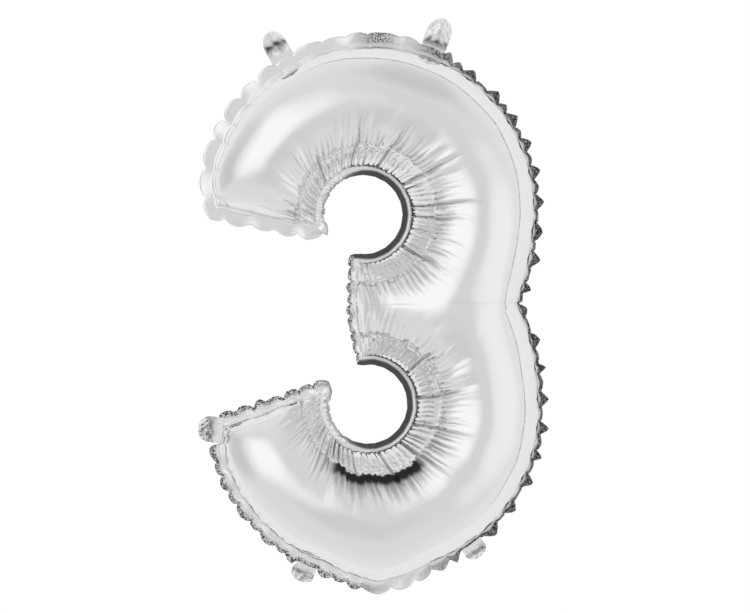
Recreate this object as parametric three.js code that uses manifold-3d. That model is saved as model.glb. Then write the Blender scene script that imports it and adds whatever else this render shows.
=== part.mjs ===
// Foil number balloon in the shape of a "3": two foil panels welded round their outline, four hanging
// tabs, a flat filling neck and the two film strips of its self-sealing valve.
// Millimetres, +Z up, +X to the right of the digit. The weld lies in the XZ plane and the front
// panel faces -Y. The finished group is moved so that the origin is the middle of its bounding box.

import * as THREE from 'three';
import { ParametricGeometry } from 'three/addons/geometries/ParametricGeometry.js';
import { mergeVertices } from 'three/addons/utils/BufferGeometryUtils.js';
import Module from 'manifold-3d';

// ---- Driving dimensions -------------------------------------------------------------------------

const filmStandIn = 0.5;        // thickness drawn for every film; the real foil is far thinner
const filmGap = 0.3;            // clear gap between the two films either side of the weld plane
const flangeWidth = 7.5;        // heat-sealed edge outside the inflated outline
const bayFlangeWidth = 6;       // the same edge round the inside of a bay
const roundness = 0.95;         // half the depth of a tube over half its width

// Each bowl is a tube bent round an open bay. Angles are in degrees, counted from +X towards +Z.
const upperBowl = {
  side: 1,
  bay: new THREE.Vector2(-7.3, 56.4),
  centre: new THREE.Vector2(-1.8, 60),
  radius: 99,
  armInner: 198.5,
  armOuter: 180,
  notch: -34,
  notchBulge: 7,
  pointHeight: 0,
};
const lowerBowl = {
  side: -1,
  bay: new THREE.Vector2(-4.3, -60.4),
  centre: new THREE.Vector2(1.8, -63.5),
  radius: 98.5,
  armInner: -197,
  armOuter: -175,
  notch: 38,
  notchBulge: 9,
  pointHeight: 6.5,
};
const bayRadius = 30;           // of the weld round each bay
const prongRoot = 53;           // angle about a bay where the far edge of the prong starts
const prongTip = 98;            // and where the prong ends
const armTaper = 30;            // length over which an arm swells from its flat end to full depth
const prongTaper = 24;
const endFilms = 4;             // film thicknesses of solid left at the flat end of a tube
const pointSpread = 20;         // degrees either side of straight down that the blunt point takes
const cornerTrim = 5;           // how far the arm's outer corner is rounded in from the circle
const cornerSpread = 16;        // degrees of the circle that this corner takes

// A tab stands out from a bowl at an angle, from its root radius about that bowl's centre.
const tabs = {
  top_left_hanging_tab: { bowl: upperBowl, angle: 121, root: 107, width: 16.5, length: 16.5 },
  top_right_hanging_tab: { bowl: upperBowl, angle: 69, root: 106, width: 16.5, length: 17.5 },
  lower_left_tab: { bowl: lowerBowl, angle: -115, root: 104.5, width: 13.5, length: 9.5 },
  lower_right_tab: { bowl: lowerBowl, angle: -55, root: 101, width: 14.5, length: 8.5 },
};
const slotClearance = 0.8;      // round a tab or the neck where it passes through the flange

const neck = { root: new THREE.Vector2(-94.5, -75), heading: 187, width: 14, length: 13 };
const valve = { root: new THREE.Vector2(-82, -76), heading: -26, width: 14, length: 55 };

// ---- Fineness -----------------------------------------------------------------------------------

const sectionsAlong = 46;
const stepsAround = 14;
const arcSegments = 8;
const endCrowding = 0.65;       // 0 spaces the sections evenly, towards 1 crowds them at the ends

// ---- Solids -------------------------------------------------------------------------------------

const wasm = await Module();
wasm.setup();

function toSolid(geometry) {
  const bare = geometry.clone();
  bare.deleteAttribute('normal');
  bare.deleteAttribute('uv');
  const merged = mergeVertices(bare, 1e-3);
  return new wasm.Manifold(new wasm.Mesh({
    numProp: 3,
    vertProperties: new Float32Array(merged.attributes.position.array),
    triVerts: new Uint32Array(merged.index.array),
  }));
}

function toGeometry(solid) {
  const mesh = solid.getMesh();
  const geometry = new THREE.BufferGeometry();
  geometry.setAttribute('position', new THREE.BufferAttribute(mesh.vertProperties, 3));
  geometry.setIndex(new THREE.BufferAttribute(mesh.triVerts, 1));
  geometry.computeVertexNormals();
  return geometry;
}

// A flat plate on the XZ plane that reaches from y = back forwards by its thickness.
function plate(shape, thickness, back) {
  const geometry = new THREE.ExtrudeGeometry(shape, {
    depth: thickness,
    bevelEnabled: false,
    curveSegments: arcSegments,
  });
  geometry.rotateX(Math.PI / 2);
  geometry.translate(0, back, 0);
  return geometry;
}

// ---- Outline of one bowl ------------------------------------------------------------------------

// The share of the way along a tube at which section i of it stands.
function station(i) {
  if (i === 0 || i === sectionsAlong) return i / sectionsAlong;
  const share = i / sectionsAlong;
  return share - (endCrowding * Math.sin(2 * Math.PI * share)) / (2 * Math.PI);
}

function direction(degrees) {
  const angle = THREE.MathUtils.degToRad(degrees);
  return new THREE.Vector2(Math.cos(angle), Math.sin(angle));
}

function onCircle(centre, radius, degrees) {
  return direction(degrees).multiplyScalar(radius).add(centre);
}

// The outside of a bowl is a circle that is rounded in at the arm's corner, stands out towards the
// notch, and has a blunt point straight down on the lower bowl.
function onBowl(bowl, degrees, grow) {
  const toPoint = Math.abs(degrees + 90) / pointSpread;
  const toNotch = Math.max(0, degrees / bowl.notch);
  const toCorner = Math.abs(degrees - bowl.armOuter) / cornerSpread;
  const radius = bowl.radius
    + bowl.pointHeight * Math.max(0, 1 - toPoint)
    + bowl.notchBulge * Math.min(1, toNotch) ** 2
    - cornerTrim * Math.max(0, 1 - toCorner) ** 2;
  return onCircle(bowl.centre, radius + grow, degrees);
}

// Both edges of the tube at t, from the arm's end (0) to the prong's tip (1). A positive grow moves
// them outwards, as the flange does, and a negative one inwards, as the hollow does. The outside
// runs round the bowl to the notch, crosses to the other bay, and follows that to the prong's tip.
function edges(bowl, t, grow, growInBay) {
  const notchAt = 0.78;
  const prongAt = 0.86;
  const other = bowl === upperBowl ? lowerBowl : upperBowl;
  const lerp = THREE.MathUtils.lerp;

  const innerAngle = lerp(bowl.armInner, -bowl.side * prongTip, t);
  const inner = onCircle(bowl.bay, bayRadius - growInBay, innerAngle);

  const farBay = (angle) => onCircle(other.bay, bayRadius - growInBay, bowl.side * angle);
  let outer;
  if (t <= notchAt) {
    outer = onBowl(bowl, lerp(bowl.armOuter, bowl.notch, t / notchAt), grow);
  } else if (t <= prongAt) {
    const share = (t - notchAt) / (prongAt - notchAt);
    outer = onBowl(bowl, bowl.notch, grow).lerp(farBay(prongRoot), share);
  } else {
    const share = (t - prongAt) / (1 - prongAt);
    outer = farBay(lerp(prongRoot, prongTip, share));
  }

  // The two flat ends move along the tube.
  if (t === 0 || t === 1) {
    const across = outer.clone().sub(inner).normalize();
    const along = new THREE.Vector2(-across.y, across.x);
    along.multiplyScalar(bowl.side * grow * (t === 0 ? 1 : -1));
    inner.add(along);
    outer.add(along);
  }
  return { inner, outer };
}

function flangeShape(bowl) {
  const innerEdge = [];
  const outerEdge = [];
  for (let i = 0; i <= sectionsAlong; i += 1) {
    const { inner, outer } = edges(bowl, station(i), flangeWidth, bayFlangeWidth);
    innerEdge.push(inner);
    outerEdge.unshift(outer);
  }
  return new THREE.Shape(innerEdge.concat(outerEdge));
}

// ---- Inflated body ------------------------------------------------------------------------------

// A quarter ellipse that climbs from 0 to 1 over the share from 0 to 1.
function quarterEllipse(share) {
  return Math.sqrt(1 - (1 - THREE.MathUtils.clamp(share, 0, 1)) ** 2);
}

// Share of the full depth at t, for a tube whose flat ends are moved in by inset.
function swell(bowl, t, inset) {
  const sweep = THREE.MathUtils.degToRad(Math.abs(bowl.armInner) + prongTip);
  const length = sweep * (bayRadius + bowl.radius) / 2;
  const fromArm = (t * length - inset) / armTaper;
  const fromTip = ((1 - t) * length - inset) / prongTaper;
  return quarterEllipse(fromArm) * quarterEllipse(fromTip);
}

// The tube of one bowl, made smaller all round by inset, with an ellipse for each section.
function tube(bowl, inset) {
  const endInset = inset * endFilms;
  const surface = (u, v, target) => {
    const t = station(v * sectionsAlong);
    const { inner, outer } = edges(bowl, t, -inset, -inset);
    const centre = inner.clone().lerp(outer, 0.5);
    const reach = outer.clone().sub(centre);
    const depth = (reach.length() * roundness - inset / 2) * swell(bowl, t, endInset);
    const angle = -bowl.side * 2 * Math.PI * u;
    const point = centre.addScaledVector(reach, Math.cos(angle));
    target.set(point.x, depth * Math.sin(angle), point.y);
  };
  return toSolid(new ParametricGeometry(surface, stepsAround, sectionsAlong));
}

function slab(bowl) {
  const thickness = filmGap + 2 * filmStandIn;
  return toSolid(plate(flangeShape(bowl), thickness, thickness / 2));
}

// Everything on one side of the weld plane, half the film gap clear of it. side is -1 in front.
function halfSpace(side) {
  const size = 1000;
  const box = new THREE.BoxGeometry(size, size, size);
  box.translate(0, side * (size / 2 + filmGap / 2), 0);
  return toSolid(box);
}

// ---- Tabs and neck ------------------------------------------------------------------------------

// A strip that starts at the origin and runs up +Y, with a round or a square end.
function stripShape(width, length, hasRoundEnd) {
  const half = width / 2;
  const shape = new THREE.Shape();
  shape.moveTo(-half, 0);
  shape.lineTo(half, 0);
  if (hasRoundEnd) {
    const straight = Math.max(length - half, 0.1);
    shape.lineTo(half, straight);
    shape.absellipse(0, straight, half, length - straight, 0, Math.PI, false, 0);
  } else {
    shape.lineTo(half, length);
    shape.lineTo(-half, length);
  }
  shape.closePath();
  return shape;
}

// Moves a geometry from the origin, where it points along +Z, to its root and heading.
function aim(geometry, root, heading) {
  geometry.rotateY(THREE.MathUtils.degToRad(90 - heading));
  geometry.translate(root.x, 0, root.y);
  return geometry;
}

function tabRoot(tab) {
  return onCircle(tab.bowl.centre, tab.root, tab.angle);
}

// The cut through the flange that leaves a strip free to fold.
function slot(root, heading, width) {
  const reach = 30;
  const depth = 10;
  const box = new THREE.BoxGeometry(width + 2 * slotClearance, depth, reach);
  box.translate(0, 0, reach / 2 - slotClearance);
  return toSolid(aim(box, root, heading));
}

// ---- Materials ----------------------------------------------------------------------------------

const foil = { color: 0xe4e5e7, roughness: 0.14, metalness: 1 };
const film = { color: 0xdfe4e8, roughness: 0.35, metalness: 0 };

function mesh(name, geometry, look) {
  const part = new THREE.Mesh(geometry, new THREE.MeshStandardMaterial(look));
  part.name = name;
  return part;
}

// ---- Pieces -------------------------------------------------------------------------------------

function buildPanels() {
  const hollow = tube(upperBowl, filmStandIn).add(tube(lowerBowl, filmStandIn));
  let envelope = tube(upperBowl, 0)
    .add(tube(lowerBowl, 0))
    .add(slab(upperBowl))
    .add(slab(lowerBowl))
    .subtract(hollow)
    .subtract(slot(neck.root, neck.heading, neck.width));
  for (const tab of Object.values(tabs)) {
    envelope = envelope.subtract(slot(tabRoot(tab), tab.angle, tab.width));
  }
  return [
    mesh('front_panel', toGeometry(envelope.intersect(halfSpace(-1))), foil),
    mesh('rear_panel', toGeometry(envelope.intersect(halfSpace(1))), foil),
  ];
}

function buildTab(name, tab) {
  const shape = stripShape(tab.width, tab.length, true);
  return mesh(name, aim(plate(shape, filmStandIn, filmStandIn / 2), tabRoot(tab), tab.angle), foil);
}

// The front and rear layers of a flat strip, half the film gap either side of the weld plane.
function buildLayers(names, strip, thickness, look) {
  const shape = stripShape(strip.width, strip.length, false);
  const backs = [-filmGap / 2, filmGap / 2 + thickness];
  return names.map((name, i) => (
    mesh(name, aim(plate(shape, thickness, backs[i]), strip.root, strip.heading), look)
  ));
}

const group = new THREE.Group();
group.add(...buildPanels());
for (const [name, tab] of Object.entries(tabs)) {
  group.add(buildTab(name, tab));
}
group.add(...buildLayers(['neck_front_layer', 'neck_rear_layer'], neck, filmStandIn, foil));
group.add(...buildLayers(['valve_front_film', 'valve_rear_film'], valve, filmStandIn, film));

const box = new THREE.Box3().setFromObject(group);
const middle = box.getCenter(new THREE.Vector3());
group.position.sub(middle);
group.updateMatrixWorld(true);

export default group;
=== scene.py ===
"""Silver foil number balloon: the looks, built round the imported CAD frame.

The two foil panels are drawn as one structured surface per side, swollen by a membrane solve over
their outline, pleated round the bays, and carried on into the crimped flange. The shapes are in the
millimetres of the CAD drawing until to_row() turns them into the frame's metres. The materials and
the studio are in metres.
"""

import math

import bpy
import numpy as np
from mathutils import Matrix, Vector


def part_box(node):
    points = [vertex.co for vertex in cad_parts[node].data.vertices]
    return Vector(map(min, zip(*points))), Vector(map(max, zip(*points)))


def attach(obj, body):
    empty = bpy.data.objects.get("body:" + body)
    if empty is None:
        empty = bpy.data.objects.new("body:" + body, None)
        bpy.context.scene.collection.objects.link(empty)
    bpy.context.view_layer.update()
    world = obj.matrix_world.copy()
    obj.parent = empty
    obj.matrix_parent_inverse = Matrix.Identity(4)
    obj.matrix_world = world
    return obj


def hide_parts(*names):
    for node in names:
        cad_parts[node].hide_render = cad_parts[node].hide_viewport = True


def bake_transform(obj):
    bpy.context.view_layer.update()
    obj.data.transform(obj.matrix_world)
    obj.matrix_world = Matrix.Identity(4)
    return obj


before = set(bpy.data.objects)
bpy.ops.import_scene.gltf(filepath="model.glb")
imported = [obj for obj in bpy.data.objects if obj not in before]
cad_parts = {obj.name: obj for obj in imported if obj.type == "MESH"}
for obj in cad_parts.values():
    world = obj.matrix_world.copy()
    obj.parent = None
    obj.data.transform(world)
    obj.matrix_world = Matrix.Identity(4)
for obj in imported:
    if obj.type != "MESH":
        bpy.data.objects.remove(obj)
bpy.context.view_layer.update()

# ---- The drawing's own frame ----

# The CAD front panel as drawn, in mm: the left edge, the bottom edge and the height.
PANEL_LEFT = -106.04
PANEL_BOTTOM = -174.42
PANEL_HEIGHT = 340.91

panel_low, panel_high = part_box("front_panel")
MM = (panel_high.z - panel_low.z) / PANEL_HEIGHT


def to_row(points):
    """Drawing coordinates (x, y, z) in mm to the row frame in metres."""
    shift = np.array([panel_low.x - PANEL_LEFT * MM, 0.0, panel_low.z - PANEL_BOTTOM * MM])
    return np.asarray(points) * MM + shift


# ---- Shape ----

# Each bowl is a tube bent round a bay. Angles are in degrees from +X towards +Z.
UPPER = {
    "side": 1,
    "bay": (-7.3, 56.0),
    "centre": (-1.8, 60.0),
    "radius": 99.0,
    "arm_inner": 198.5,
    "arm_outer": 180.0,
    "notch": -34.0,
    "notch_bulge": 7.0,
    "point": 0.0,
}
LOWER = {
    "side": -1,
    "bay": (-4.3, -59.5),
    "centre": (1.8, -63.5),
    "radius": 98.5,
    "arm_inner": -197.0,
    "arm_outer": -175.0,
    "notch": 38.0,
    "notch_bulge": 9.0,
    "point": 6.5,
}
BAY_RADIUS = 28.7
PRONG_TIP = 98.0
PRONG_POINT = (-12.5, 0.0)
POINT_SPREAD = 20.0
CORNER_TRIM = 5.0
CORNER_SPREAD = 16.0
ROUNDNESS = 0.97

# Fineness of the surface: columns round each bowl, rows from the bay to the outside.
COLUMNS = 380
ROWS = 52
FLANGE_ROWS = 6
NOTCH_AT = 0.77
# The gathered film next to the bay: its share of the rows and of the width, and how its rows crowd.
GATHERED_ROWS = 0.55
GATHERED_WIDTH = 0.32
GATHERED_CROWDING = 1.3
# How late along the outside the outline turns to meet the notch.
NOTCH_PULL = 6
NOTCH_COLUMN = round(NOTCH_AT * COLUMNS)
NOTCH = np.array([87.0, 2.5])

# The two films at a weld, mm: the gap between them and the thickness drawn for each.
FILM_GAP = 0.3
FILM = 0.1


def on_circle(centre, radius, degrees):
    angle = np.radians(degrees)
    x = centre[0] + radius * np.cos(angle)
    z = centre[1] + radius * np.sin(angle)
    return np.stack([x, z], axis=-1)


def on_bowl(bowl, degrees):
    """The weld round the outside of a bowl."""
    to_point = np.abs(degrees + 90.0) / POINT_SPREAD
    to_notch = np.clip(degrees / bowl["notch"], 0.0, 1.0)
    to_corner = np.abs(degrees - bowl["arm_outer"]) / CORNER_SPREAD
    radius = (
        bowl["radius"]
        + bowl["point"] * np.clip(1.0 - to_point, 0.0, 1.0)
        + bowl["notch_bulge"] * to_notch**2
        - CORNER_TRIM * np.clip(1.0 - to_corner, 0.0, 1.0) ** 2
    )
    return on_circle(bowl["centre"], radius, degrees)


def smooth_step(x):
    x = np.clip(x, 0.0, 1.0)
    return x * x * (3.0 - 2.0 * x)


def lay_out(bowl, notch):
    """Flat positions of one bowl's grid, COLUMNS + 1 by ROWS + 1, and each column's bay angle."""
    v = np.linspace(0.0, 1.0, COLUMNS + 1)
    s = np.linspace(0.0, 1.0, ROWS + 1)
    bay_angle = bowl["arm_inner"] + (-bowl["side"] * PRONG_TIP - bowl["arm_inner"]) * v
    inner = on_circle(bowl["bay"], BAY_RADIUS, bay_angle)

    outer = on_bowl(bowl, bowl["arm_outer"] + (bowl["notch"] - bowl["arm_outer"]) * v / NOTCH_AT)
    shape_at_notch = outer[NOTCH_COLUMN].copy()
    outer += smooth_step(v / NOTCH_AT)[:, None] ** NOTCH_PULL * (notch - shape_at_notch)
    # Past the notch each column ends on the middle line, where its ray from the bay meets it.
    beyond = np.arange(NOTCH_COLUMN, COLUMNS + 1)
    share = (beyond - NOTCH_COLUMN) / (COLUMNS - NOTCH_COLUMN)
    ray = np.radians(np.abs(bay_angle[beyond]))
    reach = abs(bowl["bay"][1] - notch[1])
    x = bowl["bay"][0] + reach / np.tan(ray)
    x = (x - x[-1]) / (x[0] - x[-1])
    outer[beyond, 0] = PRONG_POINT[0] + (notch[0] - PRONG_POINT[0]) * x
    outer[beyond, 1] = PRONG_POINT[1] + (notch[1] - PRONG_POINT[1]) * x

    # Rows are close together in the gathered film round the bay, and crowd towards the outer weld.
    inside = smooth_step((v - NOTCH_AT + 0.1) / 0.2)[:, None]
    gathered = GATHERED_WIDTH * np.clip(s / GATHERED_ROWS, 0.0, 1.0) ** GATHERED_CROWDING
    rest = np.clip((s - GATHERED_ROWS) / (1.0 - GATHERED_ROWS), 0.0, 1.0)
    to_end = (1.0 - inside) * np.sin(math.pi * rest / 2.0) + inside * rest
    across = gathered + (1.0 - GATHERED_WIDTH) * to_end
    flat = inner[:, None, :] + across[:, :, None] * (outer - inner)[:, None, :]
    return flat, bay_angle


def number_vertices():
    """Vertex numbers of one panel's two bowls. The bowls share the vertices of the middle line."""
    shape = (COLUMNS + 1, ROWS + 1)
    count = shape[0] * shape[1]
    upper = np.arange(count).reshape(shape)
    lower = np.arange(count, 2 * count).reshape(shape)
    lower[NOTCH_COLUMN:, ROWS] = upper[NOTCH_COLUMN:, ROWS]
    return upper, lower, 2 * count


def quads_of(grid, flip):
    a, b = grid[:-1, :-1], grid[1:, :-1]
    c, d = grid[1:, 1:], grid[:-1, 1:]
    faces = np.stack([a, b, c, d], axis=-1).reshape(-1, 4)
    return faces[:, ::-1] if flip else faces


# The membrane solve: its most steps, the remainder at which it ends, and a guard against zero areas.
SOLVER_STEPS = 1500
SOLVED = 1e-9
TINY = 1e-9


def swollen(flat, faces, fixed):
    """Membrane height over the flat outline: the square root of twice a Poisson solution."""
    count = len(flat)
    corners = np.concatenate([faces[:, [0, 1, 2]], faces[:, [0, 2, 3]]])
    points = flat[corners]
    edges, weights = [], []
    area = np.zeros(count)
    for k in range(3):
        i, j, o = corners[:, k], corners[:, (k + 1) % 3], corners[:, (k + 2) % 3]
        to_i = points[:, k] - points[:, (k + 2) % 3]
        to_j = points[:, (k + 1) % 3] - points[:, (k + 2) % 3]
        cross = np.abs(to_i[:, 0] * to_j[:, 1] - to_i[:, 1] * to_j[:, 0]) + TINY
        edges.append(np.stack([i, j], axis=-1))
        weights.append((to_i * to_j).sum(-1) / cross / 2.0)
        area += np.bincount(o, cross / 6.0, count)
    edges = np.concatenate(edges)
    weights = np.concatenate(weights)
    i, j = edges[:, 0], edges[:, 1]
    diagonal = np.bincount(i, weights, count) + np.bincount(j, weights, count)
    free = np.ones(count, bool)
    free[fixed] = False
    free &= area > 0.0
    diagonal[diagonal <= 0.0] = 1.0

    def operate(x):
        out = diagonal * x
        out -= np.bincount(i, weights * x[j], count)
        out -= np.bincount(j, weights * x[i], count)
        return out * free

    u = np.zeros(count)
    residual = area * free
    z = residual / diagonal
    step = z.copy()
    size = (residual * z).sum()
    for _ in range(SOLVER_STEPS):
        moved = operate(step)
        alpha = size / (step * moved).sum()
        u += alpha * step
        residual -= alpha * moved
        z = residual / diagonal
        new_size = (residual * z).sum()
        if new_size < SOLVED:
            break
        step = z + new_size / size * step
        size = new_size
    return np.sqrt(2.0 * np.clip(u, 0.0, None))


# ---- Creases and waves ----


def jittered(start, end, pitch, jitter, rng):
    """Places from start to end, about pitch apart, each moved at random by up to jitter pitches."""
    count = max(2, round((end - start) / pitch) + 1)
    places = np.linspace(start, end, count)
    places[1:-1] += rng.uniform(-jitter, jitter, count - 2) * pitch
    return places


def cells(x, places):
    """For each x: the cell between two places that holds it, its share across, the cell's width."""
    cell = np.clip(np.searchsorted(places, x, side="right") - 1, 0, len(places) - 2)
    width = places[cell + 1] - places[cell]
    return cell, np.clip((x - places[cell]) / width, 0.0, 1.0), width


def lobe(share, roundness=0.8):
    """0 at both sides of a cell, 1 in its middle; a lower roundness gives sharper valleys."""
    return np.sin(math.pi * share) ** roundness


def waves(points, lengths, rng, count=6):
    """Smooth noise, about -1 to 1: a few sine waves in random directions."""
    total = np.zeros(points.shape[:-1])
    for _ in range(count):
        heading = rng.normal(size=points.shape[-1])
        heading *= 2.0 * math.pi / (np.linalg.norm(heading) * rng.uniform(*lengths))
        total += np.sin(points @ heading + rng.uniform(0.0, 2.0 * math.pi))
    return total / math.sqrt(count)


# Pleats: how far their places and steepness vary, how far along each starts to fade, how far before
# its start it rises, and how narrow its valley of painted shade is.
PLEAT_JITTER = 0.3
PLEAT_STRENGTH = (0.4, 1.2)
PLEAT_FADE = 0.2
PLEAT_LEAD = 2.0
VALLEY_SHARPNESS = 1.2


def pleats(x, depth, pitch, slope, start, reach, rng):
    """Rounded pleats with sharp valleys, which fan out from the bay: their rise, and the painted shade of
    their valleys.

    x runs along the bay's weld and depth away from it. They begin at start, and each fades out at
    its own depth within reach.
    """
    places = jittered(x.min(), x.max(), pitch, PLEAT_JITTER, rng)
    cell, share, width = cells(x, places)
    fanned = width * (1.0 + depth / BAY_RADIUS)
    strength = rng.uniform(*PLEAT_STRENGTH, len(places))[cell] * slope * fanned / math.pi
    run = rng.uniform(*reach, len(places))[cell] - start
    fade = 1.0 - smooth_step((depth - start - PLEAT_FADE * run) / ((1.0 - PLEAT_FADE) * run))
    fade = fade * smooth_step((depth - start) / PLEAT_LEAD + 1.0)
    valley = (1.0 - lobe(share)) ** VALLEY_SHARPNESS * fade * rng.uniform(0.0, 1.0, len(places))[cell]
    return strength * lobe(share) * fade, valley


def groove(distance, width):
    """1 on a crease's line, falling off sharply to both sides."""
    return np.exp(-np.abs(distance) / width)


def normals_of(points, faces):
    total = np.zeros_like(points)
    across = points[faces[:, 2]] - points[faces[:, 0]]
    along = points[faces[:, 3]] - points[faces[:, 1]]
    face_normals = np.cross(across, along)
    for k in range(4):
        for axis in range(3):
            total[:, axis] += np.bincount(faces[:, k], face_normals[:, axis], len(points))
    return total / (np.linalg.norm(total, axis=1, keepdims=True) + 1e-12)


def run_along(line, axis):
    """Distance along the rows or columns of a grid of points, from its first one."""
    steps = np.linalg.norm(np.diff(line, axis=axis), axis=2)
    start = np.zeros_like(np.take(steps, [0], axis=axis))
    return np.concatenate([start, np.cumsum(steps, axis=axis)], axis=axis)


# ---- The weld and the crimped flange ----


def weld_loop(upper, lower):
    """Vertex numbers once round the weld, and a name for each stretch of it."""
    stretches = [
        ("bay", upper[:-1, 0]),
        ("prong", upper[-1, :-1]),
        ("prong", lower[-1, :0:-1]),
        ("bay", lower[:0:-1, 0]),
        ("arm", lower[0, :-1]),
        ("outside", lower[:NOTCH_COLUMN, ROWS]),
        ("outside", upper[NOTCH_COLUMN:0:-1, ROWS]),
        ("arm", upper[0, :0:-1]),
    ]
    names = np.concatenate([[name] * len(line) for name, line in stretches])
    return np.concatenate([line for _, line in stretches]), names


# Spacing, mm, at which values round the weld are sampled before they are averaged.
SAMPLE = 0.5


def soften(run, total, values, reach):
    """Values round a closed line, each averaged over reach mm to both sides."""
    count = round(total / SAMPLE)
    even = np.arange(count) * total / count
    half = round(reach / SAMPLE)
    kernel = np.ones(2 * half + 1) / (2 * half + 1)
    result = []
    for column in values.T:
        sampled = np.interp(even, run, column, period=total)
        padded = np.concatenate([sampled[-half:], sampled, sampled[:half]])
        result.append(np.interp(run, even, np.convolve(padded, kernel, "valid"), period=total))
    return np.stack(result, -1)


# The flange by stretch: its width and the pitch of its lobes, mm, how far they tilt and their edges
# curl, degrees, how crinkled the film is, mm, and how dark its painted reflection is, 0 to 1.
BAY_EDGE = (4.7, 9.0, 5.0, 0.0, 0.0, 0.93)
PRONG_EDGE = (5.5, 7.5, 30.0, 35.0, 0.5, 0.9)
PLAIN_EDGE = (8.4, 14.5, 9.0, 3.0, 0.03, 0.0)
# What is added at the left of the bays, and to the plain edge on the right and on the lower left.
BAY_LEFT_CHANGE = (0.0, 0.0, 0.0, 0.0, 0.9, -0.5)
RIGHT_CHANGE = (-1.6, -5.7, 30.0, 30.0, 0.22, 1.0)
LOW_LEFT_CHANGE = (-0.6, -4.5, 14.0, 28.0, 0.3, 0.95)
# The flange narrows at the notch, by this share and over this distance, mm.
NOTCH_NARROWING = 0.35
NOTCH_SPREAD = 9.0
CRUMPLED_CRINKLE = 0.4
# Reach, mm, over which the way along the weld and the values of the edge are averaged.
DIRECTION_REACH = 2.5
VALUE_REACH = 5.0

# Lobes: how far their places, tilts, curls and widths vary.
LOBE_JITTER = 0.22
TILT_SPREAD = (0.5, 1.2)
CURL_SPREAD = (0.6, 1.3)
WIDTH_SPREAD = (0.9, 1.06)
# Width of a pointed and of a rounded lobe at its pinches, and what it gains towards its middle.
POINTED = (0.42, 0.62)
ROUNDED = (0.6, 0.4)
# Along the top the lobes nearly run together, and in the bays the edge is nearly even.
TOP_EVENNESS = 0.75
TOP_WIDTH = 0.95
BAY_LOBES = 0.04
# The weld itself: its scallops and how far they are pulled in, mm, and the share of that in the bays.
WELD_SCALLOP = 0.9
WELD_PULL = 0.7
WELD_IN_BAY = 0.2
# A lobe tilted this many degrees lifts its weld by this many mm.
LIFT_TILT = 60.0
LIFT = 0.9
# The flange stays flat this far beside a tab and stops this far short of its root, mm.
CALM_BESIDE_TAB = 4.0
CALM_FADE = 6.0
TAB_GAP = 1.0
LEAST_FLANGE = 0.8
# Crinkles: least and greatest length, mm, how many waves make them up, and their seeds.
CRINKLE_LENGTHS = (2.5, 7.0)
CRINKLE_WAVES = 10
CRINKLE_SEEDS = (71, 72)
# The width that crinkles are laid out over, mm.
CRINKLE_SPAN = 8.0


def edge_directions(flat):
    """Along the closed weld: distance, whole length, and at each point its direction and the way out."""
    step = np.roll(flat, -1, axis=0) - flat
    ends = np.cumsum(np.linalg.norm(step, axis=1))
    total = ends[-1]
    run = np.concatenate([[0.0], ends[:-1]])
    tangent = soften(run, total, step / np.linalg.norm(step, axis=1, keepdims=True), DIRECTION_REACH)
    tangent /= np.linalg.norm(tangent, axis=1, keepdims=True)
    after = np.roll(flat, -1, axis=0)
    turning = (flat[:, 0] * after[:, 1] - after[:, 0] * flat[:, 1]).sum()
    outward = np.stack([tangent[:, 1], -tangent[:, 0]], -1) * np.sign(turning)
    return run, total, tangent, outward


def edge_stretches(flat, names):
    """How far each weld point belongs to each kind of stretch, 0 to 1. Places are in drawing mm."""
    x, z = flat[:, 0], flat[:, 1]
    bay = names == "bay"
    return {
        "bay": bay,
        "prong": names == "prong",
        "right": smooth_step((x - 10.0) / 50.0) * ~bay,
        "low_left": smooth_step((-z - 40.0) / 8.0) * smooth_step((8.0 - x) / 20.0) * ~bay,
        "top": smooth_step((z - 142.0) / 8.0)
        * smooth_step((45.0 - x) / 10.0)
        * smooth_step((x + 50.0) / 8.0),
        "bay_left": 1.0 - smooth_step((x + 30.0) / 20.0),
        "bay_far_left": 1.0 - smooth_step((x + 28.0) / 30.0),
        "at_notch": np.exp(-(((x - NOTCH[0]) ** 2 + (z - NOTCH[1]) ** 2) / NOTCH_SPREAD**2)),
    }


def edge_values(flat, parts, tab_roots, crumpled):
    """Width, pitch, tilt, curl, crinkle and painted dark reflection of the flange at each weld point."""
    values = []
    changes = zip(BAY_EDGE, PRONG_EDGE, PLAIN_EDGE, BAY_LEFT_CHANGE, RIGHT_CHANGE, LOW_LEFT_CHANGE)
    for in_bay, on_prong, plain, at_bay_left, at_right, at_low_left in changes:
        in_bay = in_bay + at_bay_left * parts["bay_left"]
        elsewhere = plain + at_right * parts["right"] + at_low_left * parts["low_left"]
        values.append(np.select([parts["bay"], parts["prong"]], [in_bay, on_prong], elsewhere))
    width, pitch, tilt, curl, crinkle, dark = values
    for spot, half in crumpled:
        near = np.exp(-(np.linalg.norm(flat - spot, axis=1) / half) ** 2)
        dark = np.maximum(dark, near)
        crinkle = np.maximum(crinkle, CRUMPLED_CRINKLE * near)
    calm = np.ones(len(flat))
    for root, half, _ in tab_roots:
        away = np.linalg.norm(flat - root, axis=1)
        calm *= smooth_step((away - half - CALM_BESIDE_TAB) / CALM_FADE)
    width = width * (1.0 - NOTCH_NARROWING * parts["at_notch"])
    return np.stack([width, pitch, tilt * calm, curl * calm, crinkle * calm, dark], -1)


def stop_at_tabs(widths, shift, flat, tangent, outward, tab_roots):
    """The flange's widths, cut short at each tab's root, where the tab takes over from the flange."""
    for root, half, heading in tab_roots:
        to_root = root - flat
        facing = smooth_step((outward @ on_circle((0.0, 0.0), 1.0, heading) - 0.5) / 0.3)
        beside = np.abs((to_root * tangent).sum(1))
        near = np.linalg.norm(to_root, axis=1) < 2.0 * half
        under = facing * near * (1.0 - smooth_step((beside - half) / 2.0))
        room = (to_root * outward).sum(1) - shift - TAB_GAP
        widths = widths + under * (np.clip(room, LEAST_FLANGE, widths) - widths)
    return widths


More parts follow.
